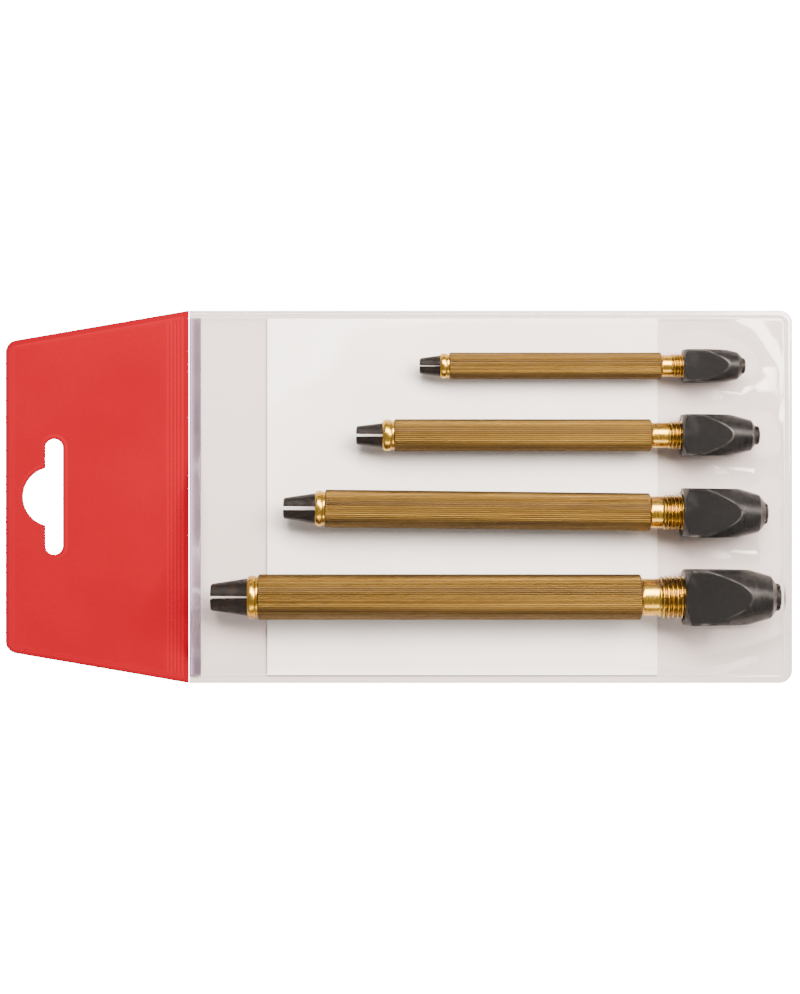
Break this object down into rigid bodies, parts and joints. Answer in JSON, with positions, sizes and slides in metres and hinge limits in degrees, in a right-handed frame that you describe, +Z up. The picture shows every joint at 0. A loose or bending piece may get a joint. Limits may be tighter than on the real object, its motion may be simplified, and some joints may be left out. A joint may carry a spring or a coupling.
{
  "type": "double-ended pin vice set in wallet",
  "caption": "Knurled brass double-ended pin vices with black square chuck nuts, in a clear wallet with a red hanger flap that has a Euro hole.",
  "frame": {"origin": "bottom centre of the whole set, lying on its back film", "axes": "+X along the vices towards the nuts and the pocket's closed end, +Y across the wallet towards the smallest vice, +Z up out of the front film"},
  "size_m": [0.2186, 0.1036, 0.0174],
  "materials": {
    "clear_film": "clear soft vinyl film, glossy",
    "strip_film": "translucent soft vinyl strip, glossy",
    "card": "matte white card",
    "red_vinyl": "soft red vinyl sheet with a fine leather-like grain",
    "brass": "turned and knurled brass, unlacquered",
    "blacked_steel": "black-oxide steel, worn bright at the edges",
    "collet_steel": "hardened steel, dark brown-black"
  },
  "bodies": {
    "wallet": {"back_film": "clear_film", "front_film": "clear_film", "mouth_strip": "strip_film", "insert_card": "card"},
    "flap": {"flap_back_sheet": "red_vinyl", "flap_front_sheet": "red_vinyl"},
    "mini_chuck_nut": {"mini_nut": "blacked_steel"},
    "mini_working_collet": {"mini_collet": "collet_steel"},
    "mini_vice_handle": {"mini_handle": "brass"},
    "mini_tail_collet": {"mini_spare_collet": "collet_steel"},
    "small_chuck_nut": {"small_nut": "blacked_steel"},
    "small_working_collet": {"small_collet": "collet_steel"},
    "small_vice_handle": {"small_handle": "brass"},
    "small_tail_collet": {"small_spare_collet": "collet_steel"},
    "medium_chuck_nut": {"medium_nut": "blacked_steel"},
    "medium_working_collet": {"medium_collet": "collet_steel"},
    "medium_vice_handle": {"medium_handle": "brass"},
    "medium_tail_collet": {"medium_spare_collet": "collet_steel"},
    "large_chuck_nut": {"large_nut": "blacked_steel"},
    "large_working_collet": {"large_collet": "collet_steel"},
    "large_vice_handle": {"large_handle": "brass"},
    "large_tail_collet": {"large_spare_collet": "collet_steel"}
  },
  "joints": [
    {"name": "flap_fold", "type": "hinge", "parent": "wallet", "child": "flap", "pos_m": [-0.05835, 0, 0.0007], "axis": [0, -1, 0], "range_deg": [-90, 0]},
    {"name": "mini_pull_out", "type": "slide", "parent": "wallet", "child": "mini_chuck_nut", "axis": [-1, 0, 0], "range_m": [0, 0.158]},
    {"name": "mini_thread_travel", "type": "slide", "parent": "mini_chuck_nut", "child": "mini_working_collet", "axis": [1, 0, 0], "range_m": [-0.00075, 0.00038]},
    {"name": "mini_handle_turn", "type": "hinge", "parent": "mini_working_collet", "child": "mini_vice_handle", "pos_m": [0.0721, 0.03605, 0.00555], "axis": [1, 0, 0], "range_deg": [-361, 181]},
    {"name": "mini_spare_pull", "type": "slide", "parent": "mini_vice_handle", "child": "mini_tail_collet", "axis": [-1, 0, 0], "range_m": [0, 0.0114]},
    {"name": "small_pull_out", "type": "slide", "parent": "wallet", "child": "small_chuck_nut", "axis": [-1, 0, 0], "range_m": [0, 0.162]},
    {"name": "small_thread_travel", "type": "slide", "parent": "small_chuck_nut", "child": "small_working_collet", "axis": [1, 0, 0], "range_m": [-0.001, 0.0005]},
    {"name": "small_handle_turn", "type": "hinge", "parent": "small_working_collet", "child": "small_vice_handle", "pos_m": [0.06915, 0.0169, 0.0068], "axis": [1, 0, 0], "range_deg": [-361, 181]},
    {"name": "small_spare_pull", "type": "slide", "parent": "small_vice_handle", "child": "small_tail_collet", "axis": [-1, 0, 0], "range_m": [0, 0.0141]},
    {"name": "medium_pull_out", "type": "slide", "parent": "wallet", "child": "medium_chuck_nut", "axis": [-0.9999, 0.0113, 0], "range_m": [0, 0.164]},
    {"name": "medium_thread_travel", "type": "slide", "parent": "medium_chuck_nut", "child": "medium_working_collet", "axis": [0.9999, -0.0113, 0], "range_m": [-0.001, 0.0005]},
    {"name": "medium_handle_turn", "type": "hinge", "parent": "medium_working_collet", "child": "medium_vice_handle", "pos_m": [0.0687, -0.00423, 0.00785], "axis": [0.9999, -0.0113, 0], "range_deg": [-361, 181]},
    {"name": "medium_spare_pull", "type": "slide", "parent": "medium_vice_handle", "child": "medium_tail_collet", "axis": [-0.9999, 0.0113, 0], "range_m": [0, 0.0161]},
    {"name": "large_pull_out", "type": "slide", "parent": "wallet", "child": "large_chuck_nut", "axis": [-1, 0, 0], "range_m": [0, 0.167]},
    {"name": "large_thread_travel", "type": "slide", "parent": "large_chuck_nut", "child": "large_working_collet", "axis": [1, 0, 0], "range_m": [-0.00125, 0.00063]},
    {"name": "large_handle_turn", "type": "hinge", "parent": "large_working_collet", "child": "large_vice_handle", "pos_m": [0.06615, -0.0275, 0.00865], "axis": [1, 0, 0], "range_deg": [-361, 181]},
    {"name": "large_spare_pull", "type": "slide", "parent": "large_vice_handle", "child": "large_tail_collet", "axis": [-1, 0, 0], "range_m": [0, 0.01585]}
  ],
  "couplings": [
    {"joint": "mini_handle_turn", "follows": "mini_thread_travel", "rad_per_m": 8377.6},
    {"joint": "small_handle_turn", "follows": "small_thread_travel", "rad_per_m": 6283.2},
    {"joint": "medium_handle_turn", "follows": "medium_thread_travel", "rad_per_m": 6283.2},
    {"joint": "large_handle_turn", "follows": "large_thread_travel", "rad_per_m": 5026.5}
  ]
}
